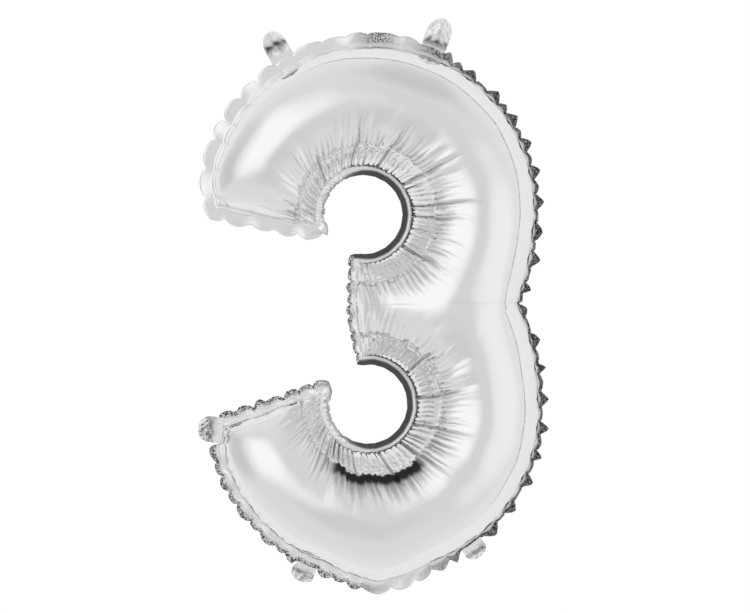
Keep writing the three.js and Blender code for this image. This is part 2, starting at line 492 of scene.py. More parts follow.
def flange(flat, names, tab_roots, crumpled, rng):
    """The crimped edge outside the weld.

    Gives its middle surface (weld points by FLANGE_ROWS + 1), the distance from each weld point to
    the nearest pinch, the painted dark reflection on the film, and how grained the film is.
    """
    run, total, tangent, outward = edge_directions(flat)
    parts = edge_stretches(flat, names)
    bay, right = parts["bay"], parts["right"]
    values = edge_values(flat, parts, tab_roots, crumpled)
    width, pitch, tilt, curl, crinkle, dark = soften(run, total, values, VALUE_REACH).T

    # Pinches, at a spacing that follows the local pitch.
    phase = np.concatenate([[0.0], np.cumsum(np.diff(run) / pitch[:-1])])
    phase *= (round(phase[-1]) - 0.01) / phase[-1]
    places = jittered(0.0, math.ceil(phase[-1]), 1.0, LOBE_JITTER, rng)
    cell, share, cell_width = cells(phase, places)
    to_pinch = np.minimum(share, 1.0 - share) * cell_width * pitch

    # Each lobe's tilt, curl and outline.
    signs = np.where(np.arange(len(places)) % 2 == 0, -1.0, 1.0)[cell]
    bulge = np.sin(math.pi * share)
    tilts = signs * tilt * rng.uniform(*TILT_SPREAD, len(places))[cell] * bulge
    curls = curl * rng.uniform(*CURL_SPREAD, len(places))[cell]
    pointed = POINTED[0] + POINTED[1] * (1.0 - np.abs(2.0 * share - 1.0))
    rounded = ROUNDED[0] + ROUNDED[1] * lobe(share, 0.5)
    scallop = rounded + right * (pointed - rounded)
    scallop = scallop + TOP_EVENNESS * parts["top"] * (TOP_WIDTH - scallop)
    scallop = scallop * rng.uniform(*WIDTH_SPREAD, len(places))[cell]
    widths = width * np.where(bay, 1.0 - BAY_LOBES + BAY_LOBES * scallop, scallop)
    shift = (WELD_SCALLOP * lobe(share, 0.7) - WELD_PULL) * np.where(bay, WELD_IN_BAY, 1.0)
    widths = stop_at_tabs(widths, shift, flat, tangent, outward, tab_roots)

    # The rows of the flange, from the weld to its edge: distance out and height.
    out, away = shift.copy(), signs * bulge * tilt / LIFT_TILT * LIFT
    rows = [np.stack([out, away], -1)]
    for row in range(1, FLANGE_ROWS + 1):
        share_out = row / FLANGE_ROWS
        angle = np.radians(tilts + curls * smooth_step((share_out - 0.3) / 0.5))
        out = out + np.cos(angle) * widths / FLANGE_ROWS
        away = away + np.sin(angle) * widths / FLANGE_ROWS
        spot = np.stack([run, np.full_like(run, CRINKLE_SPAN * share_out)], -1)
        rough = crinkle * smooth_step(share_out / 0.5)
        up, sideways = (
            waves(spot, CRINKLE_LENGTHS, np.random.default_rng(seed), CRINKLE_WAVES) for seed in CRINKLE_SEEDS
        )
        rows.append(np.stack([out + 0.5 * rough * sideways, away + rough * up], -1))
    profile = np.stack(rows, 1)
    surface = np.stack(
        [
            flat[:, None, 0] + profile[..., 0] * outward[:, None, 0],
            profile[..., 1],
            flat[:, None, 1] + profile[..., 0] * outward[:, None, 1],
        ],
        -1,
    )

    # Painted dark reflection starts some way out from the weld. The film is grained everywhere but in the
    # bays.
    to_edge = np.linspace(0.0, 1.0, FLANGE_ROWS + 1)
    start = 0.05 + 0.3 * (parts["low_left"] + parts["prong"]) + 0.5 * bay * parts["bay_far_left"]
    shade = dark[:, None] * smooth_step((to_edge - start[:, None]) / 0.3)
    knurled = (0.15 + dark * (1.0 - 0.8 * right))[:, None] * smooth_step(to_edge / 0.3)
    grain = np.where(bay[:, None], 0.0, knurled)
    return surface, to_pinch, shade, grain


# ---- The two panels ----

# Angles about the upper and lower bay at which a long crease runs out from the weld, and how far.
UPPER_CREASES = {105: 34, 75: 33, 38: 40, 9: 44, -2: 30, 141: 24, -38: 30}
LOWER_CREASES = {-112: 36, -80: 34, -52: 38, -24: 40, 6: 32, -140: 26, 40: 26}
CREASE_DEPTH = 1.5
CREASE_WIDTH = 0.38
# Each long crease also gets painted shade along its line.
CREASE_SHADE = 0.85

# How far the short puckers next to the weld reach, and over what distance the film climbs there.
PUCKER_REACH = 13.0
CONE = 8.0
CONE_FADE = (15.0, 30.0)
# Sets of pleats: pitch along the weld, steepness, start, least and greatest reach, painted shade of valleys.
PLEATS = (
    (2.7, 0.75, 0.0, (PUCKER_REACH, PUCKER_REACH + 1.5), 0.35),
    (2.1, 0.60, PUCKER_REACH, (22.0, 37.0), 0.40),
    (6.5, 0.26, PUCKER_REACH, (28.0, 44.0), 0.0),
)
# How far pleats wander from straight, mm, and over what lengths.
WANDER = 0.35
WANDER_LENGTHS = (14.0, 30.0)
# Angles about the lower bay where the valleys get the strongest painted dark reflection, and how far
# that spreads. There the pleats are steeper, and their painted valleys darker and wider.
STREAKED = (-134.0, -38.0)
STREAK_SPREAD = 24.0
STREAKS_UPPER = 0.25
STEEPER = 0.5
DARKER = 2.6
WIDER = 0.4
DARKEST_VALLEY = 0.95

# The jagged shoulder between puckers and pleats: the pitch and length of its teeth, how far they
# vary, its height, and the painted shade along its outline, all but the shade in mm.
TOOTH_PITCH = 3.1
TOOTH_LENGTH = 2.2
TOOTH_SPREAD = 1.2
SHOULDER_HEIGHT = 1.5
SHOULDER_SHADE = 0.7
# The painted dark reflection on the lower bay's floor: the angles about the bay where it starts and
# ends, and the shortest length of its streaks and how far they vary, mm.
PATCH_ANGLES = (-140.0, -50.0)
STREAK_PITCH = 2.1
STREAK_LENGTH = 6.0
STREAK_VARIATION = 14.0
# Pinches of the flange run on into the film: their length, how far it varies, their depth and painted shade.
PINCH_LENGTH = 15.0
PINCH_VARIATION = 5.0
PINCH_DEPTH = 1.1
PINCH_SHADE = 0.35
# Soft dents all over the film, mm.
DENTS = 0.22
DENT_LENGTHS = (24.0, 60.0)


def gathered_height(layout, height):
    """The gathers hold the film down next to the bays, so it climbs there like a cone."""
    upper, lower, count = layout["numbers"]
    factor, uses = np.zeros(count), np.full(count, 1e-9)
    for grid in (upper, lower):
        depth = run_along(layout["flat"][grid], 1)
        held = 1.0 - np.sqrt(depth / (depth + CONE))
        share = 1.0 - held * (1.0 - smooth_step((depth - CONE_FADE[0]) / CONE_FADE[1]))
        factor += np.bincount(grid.ravel(), share.ravel(), count)
        uses += np.bincount(grid.ravel(), minlength=count)
    return height * factor / uses


def side_distances(points, grid):
    """Distances of a bowl's points from its bay, its outside, its arm end and its prong end, mm."""
    line = points[grid]
    depth = run_along(line, 1)
    along = run_along(line, 0)
    outside = depth[:, -1:] - depth
    outside[NOTCH_COLUMN + 1 :] = 1e3
    return depth, outside, along, along[-1:] - along


def follow_weld(points, grid, moves):
    """Takes the film near a weld along with it, fading over a few millimetres."""
    sides = side_distances(points, grid)
    edges = [grid[:, :1], grid[:, -1:], grid[:1, :], grid[-1:, :]]
    total = np.zeros(points[grid].shape)
    weight = np.zeros(grid.shape)
    for distance, edge in zip(sides, edges):
        near = (1.0 - smooth_step(distance / 7.0)) ** 2
        total += near[..., None] * moves[edge]
        weight += near
    return total / np.maximum(weight, 1.0)[..., None]


class Relief:
    """What the wrinkles add up to: moves along the normal, mm, and the painted shade and dark reflection at
    each point, 0 to 1.
    """

    def __init__(self, shape):
        self.move = np.zeros(shape)
        self.painted_shade = np.zeros(shape)

    def add(self, move, painted_shade=0.0):
        self.move += move
        # Where marks overlap, the darkest painted shade wins.
        self.painted_shade = np.maximum(self.painted_shade, painted_shade)


def add_pleats(relief, bowl, x, depth, bay_angle, rng):
    streaked = sum(np.exp(-(((bay_angle - middle) / STREAK_SPREAD) ** 2)) for middle in STREAKED)
    if bowl is UPPER:
        streaked = STREAKS_UPPER * np.ones_like(bay_angle)
    streaked = streaked.reshape(-1, 1)
    for pitch, slope, start, reach, shade in PLEATS:
        rise, valley = pleats(x, depth, pitch, slope, start, reach, rng)
        dark = shade * (1.0 + DARKER * streaked) * valley ** (1.0 - WIDER * streaked)
        relief.add((1.0 + STEEPER * streaked) * rise, np.minimum(dark, DARKEST_VALLEY))


def add_long_creases(relief, bowl, x, depth, bay_angle):
    creases = UPPER_CREASES if bowl is UPPER else LOWER_CREASES
    for angle, length in creases.items():
        place = BAY_RADIUS * math.radians(abs(angle - bay_angle[0]))
        fade = 1.0 - smooth_step((depth - 0.5 * length) / (0.5 * length))
        line = groove(x - place, CREASE_WIDTH) * fade
        # The crease is a groove with painted shade along its line.
        relief.add(-CREASE_DEPTH * line, CREASE_SHADE * line)


def add_shoulder(relief, x, depth, rng):
    """A jagged shoulder where the short puckers meet the longer pleats. Gives its depth."""
    teeth = jittered(x.min(), x.max(), TOOTH_PITCH, 0.35, rng)
    cell, share, _ = cells(x, teeth)
    edge = PUCKER_REACH + TOOTH_LENGTH * (0.5 - np.abs(share - 0.5))
    edge = edge + rng.uniform(-TOOTH_SPREAD, TOOTH_SPREAD, len(teeth))[cell]
    shoulder = 1.0 - smooth_step((depth - edge) / 1.6)
    # Painted shade along the shoulder's outline.
    outline = SHOULDER_SHADE * groove(depth - edge - 0.6, 0.45) * rng.uniform(0.4, 1.2, len(teeth))[cell]
    relief.add(-SHOULDER_HEIGHT * shoulder * smooth_step(depth / 7.0), outline)
    return edge


def add_dark_patch(relief, x, depth, edge, bay_angle, rng):
    """The darkest painted dark reflection, a patch on the lower bay's floor, which runs out into streaks."""
    streaks = jittered(x.min(), x.max(), STREAK_PITCH, 0.3, rng)
    cell, share, _ = cells(x, streaks)
    length = STREAK_LENGTH + rng.uniform(0.0, STREAK_VARIATION, len(streaks))[cell] * lobe(share)
    angle = bay_angle[:, None]
    window = smooth_step((angle - PATCH_ANGLES[0]) / 10.0) * smooth_step((PATCH_ANGLES[1] - angle) / 10.0)
    black = 1.0 - 0.4 * smooth_step((depth - edge - 5.5) / 2.5)
    patch = smooth_step(depth - edge) * (1.0 - smooth_step((depth - edge - 5.0) / length)) * black
    relief.add(0.0, patch * window)


def add_pinches(relief, distance, to_pinch):
    """Pinches of the flange run on into the film as grooves with painted shade."""
    reach = PINCH_LENGTH + PINCH_VARIATION * np.sin(1.7 * to_pinch)
    line = groove(to_pinch, PINCH_DEPTH) * (1.0 - smooth_step(distance / reach))
    relief.add(-PINCH_DEPTH * line, PINCH_SHADE * line)


def add_notch_crease(relief, place):
    """A faint crease runs in from the notch, with faint painted shade."""
    line = groove(place[..., 2] - NOTCH[1], 0.8) * smooth_step((place[..., 0] - 25.0) / 30.0)
    relief.add(-0.2 * line, 0.06 * line)


def wrinkle(bowl, points, grid, bay_angle, to_pinch, rng):
    """How far each point moves along its normal, mm, and the painted shade and dark reflection it gets, 0 to
    1.
    """
    _, outside, from_arm, from_prong = side_distances(points, grid)
    place = points[grid]
    depth = run_along(place[..., [0, 2]], 1)
    bay_run = BAY_RADIUS * np.radians(np.abs(bay_angle - bay_angle[0]))[:, None]
    spot = np.stack(np.broadcast_arrays(bay_run, depth), -1)
    x = bay_run + WANDER * waves(spot, WANDER_LENGTHS, rng)

    relief = Relief(grid.shape)
    add_pleats(relief, bowl, x, depth, bay_angle, rng)
    add_long_creases(relief, bowl, x, depth, bay_angle)
    edge = add_shoulder(relief, x, depth, rng)
    if bowl is LOWER:
        add_dark_patch(relief, x, depth, edge, bay_angle, rng)
    add_pinches(relief, outside, to_pinch[grid[:, -1:]])
    add_pinches(relief, from_arm, to_pinch[grid[:1, :]])
    add_notch_crease(relief, place)
    relief.add(DENTS * waves(place[..., [0, 2]], DENT_LENGTHS, rng))

    nearest = np.minimum(np.minimum(2.0 * depth, outside), np.minimum(from_arm, from_prong))
    calm = smooth_step(nearest / 3.0)
    return relief.move * calm, relief.painted_shade * calm


def thicken(points, faces, rim, thickness):
    """A sheet made solid: a second layer below it and a band of faces along its rim."""
    count = len(points)
    below = points - thickness * normals_of(points, faces)
    rim_next = np.roll(rim, -1)
    band = np.stack([rim, rim + count, rim_next + count, rim_next], -1)
    first = faces[(faces == rim[0]).any(1) & (faces == rim[1]).any(1)][0].tolist()
    forward = first[(first.index(rim[0]) + 1) % 4] == rim[1]
    band = band if forward else band[:, ::-1]
    return np.concatenate([points, below]), np.concatenate([faces, faces[:, ::-1] + count, band])


def new_piece(name, points, faces, values, material):
    """A mesh object from drawing points in mm, with its per-point values for the material."""
    mesh = bpy.data.meshes.new(name)
    mesh.from_pydata(to_row(points).tolist(), [], faces.tolist())
    mesh.polygons.foreach_set("use_smooth", np.ones(len(faces), bool))
    for label, numbers in values.items():
        layer = mesh.attributes.new(label, "FLOAT", "POINT")
        layer.data.foreach_set("value", numbers.astype(np.float32))
    mesh.materials.append(material)
    mesh.update()
    piece = bpy.data.objects.new(name, mesh)
    bpy.context.scene.collection.objects.link(piece)
    return piece


def build_panel(name, facing, layout, height, edge, material, rng):
    """One foil panel with its layer of the flange. facing is -1 for the front and 1 for the rear."""
    upper, lower, count = layout["numbers"]
    loop, surface, shade, grain = edge["loop"], edge["surface"], edge["shade"], edge["grain"]
    flat = layout["flat"]
    points = np.stack([flat[:, 0], facing * ROUNDNESS * height, flat[:, 1]], -1)
    body = np.concatenate([quads_of(upper, facing > 0), quads_of(lower, facing < 0)])
    normals = normals_of(points, body)

    moves = np.zeros_like(points)
    moves[loop] = surface[:, 0] - points[loop]
    change = np.zeros_like(points)
    painted_shade = np.zeros(count)
    for bowl, grid, angles in ((UPPER, upper, layout["upper"]), (LOWER, lower, layout["lower"])):
        move, lines = wrinkle(bowl, points, grid, angles, edge["to_pinch"], rng)
        total = move[..., None] * normals[grid] + follow_weld(points, grid, moves)
        if bowl is LOWER:
            middle = change[grid[NOTCH_COLUMN:, -1]]
            blend_in = smooth_step(np.linspace(0.0, 1.0, ROWS + 1))[None, :, None]
            gap = middle - total[NOTCH_COLUMN:, -1]
            total[NOTCH_COLUMN:] += blend_in * gap[:, None, :]
        change[grid] = total
        painted_shade[grid] = lines
    points = points + change

    # The flange's rows follow the weld's vertices; each layer lies off the middle surface.
    outer = count + np.arange(len(loop) * FLANGE_ROWS).reshape(len(loop), FLANGE_ROWS)
    strip = np.concatenate([loop[:, None], outer], axis=1)
    closed = np.concatenate([strip, strip[:1]])
    strip_faces = quads_of(closed, False)
    points = np.concatenate([points, surface[:, 1:].reshape(-1, 3)])
    points[loop] = surface[:, 0]
    strip_normals = normals_of(points, strip_faces)
    if strip_normals[loop, 1].mean() * facing < 0.0:
        strip_faces = strip_faces[:, ::-1]
        strip_normals = -strip_normals
    points[strip.ravel()] += (FILM_GAP / 2.0 + FILM) * strip_normals[strip.ravel()]

    faces = np.concatenate([body, strip_faces])
    # The dark attribute paints shade and dark reflections into the foil's colour: in the creases and valleys
    # of the body, and out on the flange.
    dark, rough = np.zeros(len(points)), np.zeros(len(points))
    dark[:count] = painted_shade
    dark[strip] = shade
    rough[strip] = grain
    solid, solid_faces = thicken(points, faces, outer[:, -1], FILM)
    values = {"dark": np.tile(dark, 2), "grain": np.tile(rough, 2)}
    return new_piece(name, solid, solid_faces, values, material)


# ---- Tabs, neck and valve ----


# Faces across and along a strip.
STRIP_FACES = (28, 30)
# The share of its length over which a strip's tip is rounded, and how much its width shrinks there.
ROUND_TIP = 0.45
TIP_LOSS = 0.93
# Lengths, mm, of a strip's coarse and fine crumples, the wobble of its painted dark band and its painted dark
# specks.
COARSE = (3.5, 10.0)
FINE = (1.5, 4.0)
BAND_WOBBLES = (3.0, 8.0)
DARK_SPECK_LENGTHS = (1.6, 4.5)
FINE_SHARE = 0.35
# Half width of the painted dark reflection band, as a share of the strip's length, and how far its wobble
# shifts it.
DARK_BAND_WIDTH = 0.13
DARK_BAND_SHIFT = 0.05


def strip(
    name, root, heading, size, material, seed, *,
    offset, arch=0.0, bend=0.0, crumple=0.0, taper=0.0, grain=0.0, dark_band_at=0.5, held=0.1,
):
    """A loose strip of film, size wide and long, from its root point, in drawing mm.

    offset lies off the middle plane, arch runs across the strip, bend along it. taper is the share
    of its width lost at the tip. Two shares of its length say where a band of painted dark reflection
    lies and how much of it is held flat between the two films of the flange.
    """
    width, length = size
    rng = np.random.default_rng(seed)
    v = np.linspace(0.0, 1.0, STRIP_FACES[1] + 1)[:, None]
    u = np.linspace(-1.0, 1.0, STRIP_FACES[0] + 1)[None, :]
    angle = math.radians(heading)
    along = np.array([math.cos(angle), math.sin(angle)])
    across = np.array([-along[1], along[0]])
    corner = np.clip((v - (1.0 - ROUND_TIP)) / ROUND_TIP, 0.0, 1.0)
    half = width / 2.0 * (1.0 - taper * v) * np.sqrt(1.0 - TIP_LOSS * corner**2)
    out = length * v + 0.0 * u
    spot = np.stack(np.broadcast_arrays(u * half, out), -1)
    free = np.clip((v - held) / (1.0 - held), 0.0, 1.0)
    loose = smooth_step(free / 0.55)
    coarse = waves(spot, COARSE, rng, 8)
    fine = FINE_SHARE * grain * waves(spot, FINE, rng, 8)
    y = -arch * np.cos(math.pi * u / 2.0) * loose - bend * free**2
    y = y + crumple * (coarse + fine) * loose + offset
    flat = root + out[..., None] * along + (u * half)[..., None] * across
    points = np.stack([flat[..., 0], y, flat[..., 1]], -1)
    grid = np.arange(points[..., 0].size).reshape(points.shape[:2])
    points = points.reshape(-1, 3)
    faces = quads_of(grid, False)
    if normals_of(points, faces)[:, 1].mean() > 0.0:
        faces = faces[:, ::-1]
    rim = np.concatenate([grid[0, :-1], grid[:-1, -1], grid[-1, :0:-1], grid[:0:-1, 0]])
    solid, solid_faces = thicken(points, faces, rim, FILM)

    # A band of painted dark reflection across the strip, and painted dark specks on its crumples.
    band_wobble = waves(spot, BAND_WOBBLES, rng, 8)
    band = np.exp(-(((v - dark_band_at - DARK_BAND_SHIFT * band_wobble) / DARK_BAND_WIDTH) ** 2))
    dark = band * (0.7 + 0.3 * np.clip(band_wobble, -1.0, 1.0))
    dark_specks = waves(spot, DARK_SPECK_LENGTHS, rng, 10)
    dark = np.maximum(dark, grain * smooth_step(1.6 * dark_specks) * loose)
    values = {"dark": np.tile(dark.ravel(), 2), "grain": np.full(len(solid), grain)}
    return new_piece(name, solid, solid_faces, values, material)


def hang_on(piece):
    """Bakes the piece's placement into its mesh."""
    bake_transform(piece)


# ---- Materials ----


def new_material(name):
    material = bpy.data.materials.new(name)
    material.use_nodes = True
    nodes = material.node_tree.nodes
    return material, nodes, material.node_tree.links, nodes["Principled BSDF"]


def new_node(nodes, kind, **values):
    """A shader node and the values of its inputs, where _ stands for a space in an input's name."""
    node = nodes.new("ShaderNode" + kind)
    for slot, value in values.items():
        node.inputs[slot.replace("_", " ")].default_value = value
    return node


def noise(nodes, links, scale, detail):
    """Noise over the object's own coordinates, in metres."""
    place = new_node(nodes, "TexCoord")
    texture = new_node(nodes, "TexNoise", Scale=scale, Detail=detail)
    links.new(place.outputs["Object"], texture.inputs["Vector"])
    return texture.outputs["Fac"]


def remap(nodes, links, value, low, high, to_low, to_high):
    node = new_node(nodes, "MapRange", From_Min=low, From_Max=high, To_Min=to_low, To_Max=to_high)
    links.new(value, node.inputs["Value"])
    return node.outputs["Result"]


def arithmetic(nodes, links, kind, a, b):
    node = new_node(nodes, "Math")
    node.operation = kind
    for slot, value in enumerate((a, b)):
        if isinstance(value, float):
            node.inputs[slot].default_value = value
        else:
            links.new(value, node.inputs[slot])
    return node.outputs["Value"]


def attribute(nodes, name):
    node = new_node(nodes, "Attribute")
    node.attribute_name = name
    return node.outputs["Fac"]


def mixed_colour(nodes, links, factor, first, second):
    node = new_node(nodes, "Mix")
    node.data_type = "RGBA"
    links.new(factor, node.inputs["Factor"])
    node.inputs["A"].default_value = (*first, 1.0)
    node.inputs["B"].default_value = (*second, 1.0)
    return node.outputs["Result"]


def rippled(nodes, links, scale, detail, strength, distance):
    """The normal of a surface with fine ripples, distance in metres."""
    node = new_node(nodes, "Bump", Strength=strength, Distance=distance)
    links.new(noise(nodes, links, scale, detail), node.inputs["Height"])
    return node.outputs["Normal"]


# The foil's own colour, the colour of its painted dark reflection, and the share of that a painted glint
# leaves.
FOIL_COLOUR = (0.93, 0.93, 0.935)
DARK_MIRROR = (0.03, 0.03, 0.034)
SHADE_LEFT_BY_GLINT = 0.25
# Scale of the sealing grain, per metre, and the noise levels between which its painted glints grow bright.
GRAIN_SCALE = 900.0
GLINT_LEVELS = (0.44, 0.58)
# Roughness of the plain foil, and what full grain adds.
SHEEN = (0.04, 0.09)
GRAIN_ROUGHNESS = 0.16


def foil(name, grain_depth):
    """Metallised film: mirror-bright with a fine crinkle, and a sealing grain where it is crimped. Its colour
    carries painted shade, painted dark reflections and painted glints.
    """
    material, nodes, links, shader = new_material(name)
    shader.inputs["Metallic"].default_value = 1.0
    dark = attribute(nodes, "dark")
    grain = attribute(nodes, "grain")

    # Painted glints on the grain lighten the painted shade and dark reflection that the dark attribute
    # carries.
    glint_noise = noise(nodes, links, GRAIN_SCALE, 2.0)
    glint_mask = remap(nodes, links, glint_noise, *GLINT_LEVELS, 0.0, 1.0)
    painted_glints = arithmetic(nodes, links, "MULTIPLY", glint_mask, grain)
    shade_left = remap(nodes, links, painted_glints, 0.0, 1.0, 1.0, SHADE_LEFT_BY_GLINT)
    darkening = arithmetic(nodes, links, "MULTIPLY", dark, shade_left)
    shade = mixed_colour(nodes, links, darkening, FOIL_COLOUR, DARK_MIRROR)
    links.new(shade, shader.inputs["Base Color"])

    clouds = noise(nodes, links, 60.0, 3.0)
    sheen = remap(nodes, links, clouds, 0.3, 0.7, *SHEEN)
    rough = arithmetic(nodes, links, "MULTIPLY", grain, GRAIN_ROUGHNESS)
    links.new(arithmetic(nodes, links, "ADD", sheen, rough), shader.inputs["Roughness"])

    film = rippled(nodes, links, 220.0, 4.0, 0.12, 0.0004)
    knurl = new_node(nodes, "Bump", Distance=grain_depth)
    place = new_node(nodes, "TexCoord")
    cell_texture = new_node(nodes, "TexVoronoi", Scale=GRAIN_SCALE)
    links.new(place.outputs["Object"], cell_texture.inputs["Vector"])
    links.new(cell_texture.outputs["Distance"], knurl.inputs["Height"])
    links.new(grain, knurl.inputs["Strength"])
    links.new(film, knurl.inputs["Normal"])
    links.new(knurl.outputs["Normal"], shader.inputs["Normal"])
    return material


def milky_film(name):
    """Thin polyethylene of the valve: cloudy, slightly see-through, with a faint ripple."""
    material, nodes, links, shader = new_material(name)
    cloudy = remap(nodes, links, noise(nodes, links, 120.0, 3.0), 0.3, 0.7, 0.0, 1.0)
    colour = mixed_colour(nodes, links, cloudy, (0.82, 0.85, 0.88), (0.92, 0.93, 0.95))
    links.new(colour, shader.inputs["Base Color"])
    shader.inputs["Roughness"].default_value = 0.3
    shader.inputs["Transmission Weight"].default_value = 0.35
    links.new(rippled(nodes, links, 400.0, 2.0, 0.2, 0.0003), shader.inputs["Normal"])
    return material


# ---- Studio ----

CAMERA_AZIMUTH = -6.0
CAMERA_DISTANCE = 1.6
PICTURE_WIDTH = 0.4575
SENSOR = 36.0
FLOOR_DROP = 0.9
FLOOR_RADIUS = 5.5


def camera_side():
    """Direction from the object to the camera."""
    angle = math.radians(CAMERA_AZIMUTH)
    return np.array([math.sin(angle), -math.cos(angle), 0.0])


def add_camera():
    data = bpy.data.cameras.new("camera")
    data.sensor_width = SENSOR
    data.lens = SENSOR * CAMERA_DISTANCE / PICTURE_WIDTH
    camera = bpy.data.objects.new("camera", data)
    bpy.context.scene.collection.objects.link(camera)
    target = to_row(np.zeros(3))
    camera.location = target + CAMERA_DISTANCE * camera_side()
    camera.rotation_euler = (math.radians(90.0), 0.0, math.radians(CAMERA_AZIMUTH))
    bpy.context.scene.camera = camera


def dot_product(nodes, links, vector, direction):
    node = new_node(nodes, "VectorMath")
    node.operation = "DOT_PRODUCT"
    links.new(vector, node.inputs[0])
    node.inputs[1].default_value = direction
    return node.outputs["Value"]


def glow(nodes, links, vector, direction, inner, outer, strength):
    """A soft-edged light panel in the surroundings, inner and outer in degrees from its middle."""
    toward = dot_product(nodes, links, vector, np.array(direction) / np.linalg.norm(direction))
    low, high = math.cos(math.radians(outer)), math.cos(math.radians(inner))
    edge = new_node(nodes, "MapRange", From_Min=low, From_Max=high, To_Max=strength)
    edge.interpolation_type = "SMOOTHSTEP"
    links.new(toward, edge.inputs["Value"])
    return edge.outputs["Result"]


# Brightness of the white tent against the angle from the camera's axis, in degrees.
TENT = (
    (0.0, 0.70), (30.0, 0.70), (62.0, 0.74), (95.0, 0.80),
    (103.0, 0.86), (135.0, 0.84), (160.0, 0.72), (180.0, 0.70),
)
# The tent's seam, a thin dark line on the right and the top: angle, half width, how much darker.
SEAM = (100.0, 1.3)
SEAM_DARKER = -0.7
# Soft light panels and shaded gaps added to the tent: direction, inner and outer angle, strength.
PANELS = (
    ((-0.60, -0.77, 0.22), 6.0, 42.0, 0.30),
    ((-1.00, -0.10, 0.10), 10.0, 38.0, -0.16),
    ((0.80, -0.62, -0.10), 6.0, 34.0, 0.16),
    ((-0.15, -0.80, -0.45), 5.0, 26.0, -0.05),
    ((0.35, -0.35, 0.90), 4.0, 30.0, -0.14),
)


def add_surroundings():
    """A white tent: pure white to the camera, softly graded where the foil mirrors it."""
    world = bpy.data.worlds.new("studio")
    world.use_nodes = True
    nodes, links = world.node_tree.nodes, world.node_tree.links
    background = nodes["Background"]
    place = new_node(nodes, "TexCoord")
    vector = place.outputs["Generated"]

    toward_camera = dot_product(nodes, links, vector, camera_side())
    angle = arithmetic(nodes, links, "ARCCOSINE", toward_camera, 0.0)
    share = arithmetic(nodes, links, "DIVIDE", angle, math.pi)
    ramp = new_node(nodes, "ValToRGB")
    ramp.color_ramp.interpolation = "EASE"
    stops = ramp.color_ramp.elements
    while len(stops) < len(TENT):
        stops.new(0.5)
    for stop, (degrees, level) in zip(stops, TENT):
        stop.position = degrees / 180.0
        stop.color = (level, level, level, 1.0)
    links.new(share, ramp.inputs["Fac"])
    level = ramp.outputs["Color"]
    for direction, inner, outer, strength in PANELS:
        panel = glow(nodes, links, vector, direction, inner, outer, strength)
        level = arithmetic(nodes, links, "ADD", level, panel)

    off_seam = arithmetic(nodes, links, "SUBTRACT", angle, math.radians(SEAM[0]))
    distance = arithmetic(nodes, links, "ABSOLUTE", off_seam, 0.0)
    seam = remap(nodes, links, distance, 0.0, math.radians(SEAM[1]), SEAM_DARKER, 0.0)
    side = glow(nodes, links, vector, (0.8, 0.0, 0.6), 60.0, 85.0, 1.0)
    level = arithmetic(nodes, links, "ADD", level, arithmetic(nodes, links, "MULTIPLY", seam, side))

    ray = new_node(nodes, "LightPath")
    mix = new_node(nodes, "Mix")
    mix.data_type = "FLOAT"
    links.new(ray.outputs["Is Camera Ray"], mix.inputs["Factor"])
    links.new(level, mix.inputs["A"])
    mix.inputs["B"].default_value = 1.0
    links.new(mix.outputs["Result"], background.inputs["Color"])
    bpy.context.scene.world = world
    bpy.context.scene.view_settings.view_transform = "Standard"


def add_floor():
    """A plain pale floor, low enough to stay out of the picture. The foil mirrors only the tent."""
    material, nodes, links, shader = new_material("floor_paint")
    tint = mixed_colour(nodes, links, noise(nodes, links, 3.0, 2.0), (0.93,) * 3, (0.96,) * 3)
    links.new(tint, shader.inputs["Base Color"])
    shader.inputs["Roughness"].default_value = 0.8
    mesh = bpy.data.meshes.new("floor")
    turns = np.linspace(0.0, 2.0 * math.pi, 96, endpoint=False)
    corners = [(FLOOR_RADIUS * math.cos(turn), FLOOR_RADIUS * math.sin(turn), 0.0) for turn in turns]
    mesh.from_pydata(corners, [], [tuple(range(len(corners)))])
    mesh.materials.append(material)
    floor = bpy.data.objects.new("floor", mesh)
    floor.location = (0.0, 0.0, -FLOOR_DROP)
    bpy.context.scene.collection.objects.link(floor)
    floor.visible_glossy = False


def add_light(name, place, size, power):
    """A large soft area light aimed at the middle of the object. The foil doesn't mirror its edge."""
    data = bpy.data.lights.new(name, "AREA")
    data.size = size
    data.energy = power
    light = bpy.data.objects.new(name, data)
    light.location = place
    light.rotation_euler = (-light.location).to_track_quat("-Z", "Y").to_euler()
    light.visible_glossy = False
    bpy.context.scene.collection.objects.link(light)


# ---- Build ----

# Each tab: its body, root (bowl, angle, radius), width and length, mm, and the shape of its strip.
TABS = {
    "top_left_hanging_tab": {
        "body": "top_left_tab",
        "root": (UPPER, 121, 107),
        "size": (15.0, 16.5),
        "shape": {"arch": 5.0, "bend": 2.0, "crumple": 0.1, "taper": 0.1, "grain": 0.1, "held": 0.11},
    },
    "top_right_hanging_tab": {
        "body": "top_right_tab",
        "root": (UPPER, 69, 106),
        "size": (15.5, 17.5),
        "shape": {"arch": 4.5, "bend": 1.0, "crumple": 0.3, "taper": 0.05, "grain": 0.25, "dark_band_at": 0.22},
    },
    "lower_left_tab": {
        "body": "lower_left_tab",
        "root": (LOWER, -115, 104.5),
        "size": (13.0, 9.5),
        "shape": {"arch": 1.4, "bend": -1.5, "crumple": 1.0, "taper": -0.15, "grain": 0.5, "held": 0.18},
    },
    "lower_right_tab": {
        "body": "lower_right_tab",
        "root": (LOWER, -55, 101),
        "size": (14.0, 8.5),
        "shape": {"arch": 1.6, "bend": -1.0, "crumple": 1.0, "grain": 0.6, "dark_band_at": 0.6, "held": 0.2},
    },
}
# Tabs and neck layers start this far inside their root, mm.
TUCK = 2.0
# Where the strips lie from front to rear, mm.
TAB_OFFSET = -0.05
NECK_OFFSETS = {"front": -0.5, "rear": 0.5}
VALVE_OFFSETS = {"front": -0.35, "rear": 0.45}
